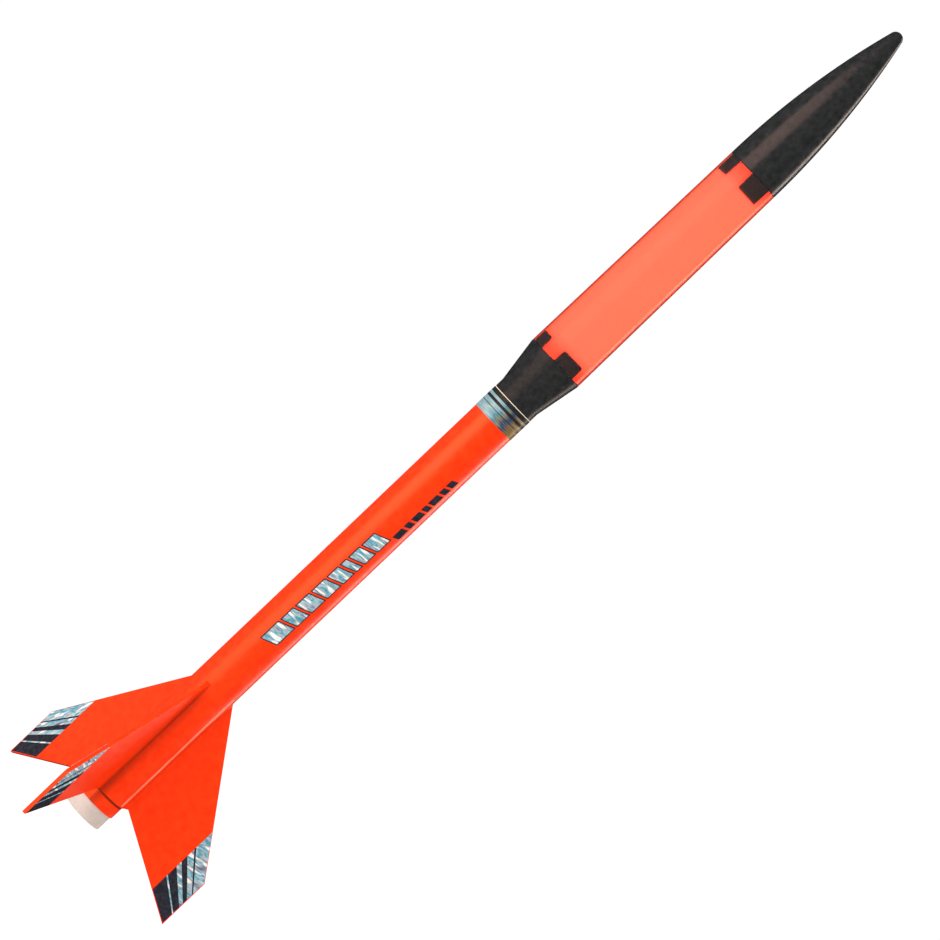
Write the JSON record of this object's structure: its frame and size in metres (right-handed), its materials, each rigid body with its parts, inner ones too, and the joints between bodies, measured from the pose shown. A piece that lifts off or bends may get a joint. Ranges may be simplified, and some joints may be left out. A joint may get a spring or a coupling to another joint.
{
  "type": "model rocket",
  "caption": "Slim model rocket with swept fins, a flared transition, a translucent payload tube and an ogive nose; nose, payload section and engine pull out.",
  "frame": {"origin": "on the rocket's centre line, level with the three fin tips that it stands on", "axes": "+Z along the centre line to the nose, -Y through fin 1, +Y through the launch lug"},
  "size_m": [0.096, 0.0831, 0.453],
  "materials": {
    "orange_tube": "satin printed card tube",
    "orange_fin": "satin paint on a thin sheet",
    "orange_fillet": "painted glue, satin",
    "orange_lug": "satin painted card",
    "foil": "printed foil film with shifting colours",
    "black_foil": "glossy black printed film",
    "kraft": "matt off-white paper",
    "elastic": "woven elastic cord, matt",
    "wadding": "crumpled flameproof tissue",
    "chute_film": "thin plastic film, slightly glossy",
    "lines": "twisted thread",
    "black_plastic": "moulded plastic, satin",
    "clear_orange": "translucent moulded plastic, glossy",
    "clay": "pressed clay, matt",
    "propellant": "pressed black powder, matt",
    "delay": "pressed grey powder, matt"
  },
  "bodies": {
    "airframe": {"body_tube": "orange_tube", "engine_mount_tube": "orange_tube", "fin_1": "orange_fin", "fin_2": "orange_fin", "fin_3": "orange_fin", "lug_standoff": "orange_fin", "fin_fillets": "orange_fillet", "launch_lug": "orange_lug", "fin_1_foils": "foil", "fin_2_foils": "foil", "fin_3_foils": "foil", "band_foil": "foil", "stripe_foil": "foil", "bar_foil": "black_foil", "thrust_ring": "kraft", "cord_mount": "kraft", "shock_cord": "elastic", "recovery_wadding": "wadding", "parachute": "chute_film", "shroud_lines": "lines"},
    "payload_section": {"transition": "black_plastic", "transition_base": "black_plastic", "payload_tube": "clear_orange"},
    "nose": {"nose_cone": "black_plastic"},
    "engine": {"engine_casing": "kraft", "engine_nozzle": "clay", "propellant_grain": "propellant", "delay_charge": "delay", "ejection_charge": "propellant", "engine_end_cap": "clay"}
  },
  "joints": [
    {"name": "payload_section_pull", "type": "slide", "parent": "airframe", "child": "payload_section", "axis": [0, 0, 1], "range_m": [0, 0.06], "deforming": ["shock_cord"]},
    {"name": "nose_pull", "type": "slide", "parent": "payload_section", "child": "nose", "axis": [0, 0, 1], "range_m": [0, 0.05]},
    {"name": "engine_pull", "type": "slide", "parent": "airframe", "child": "engine", "axis": [0, 0, -1], "range_m": [0, 0.075]}
  ]
}
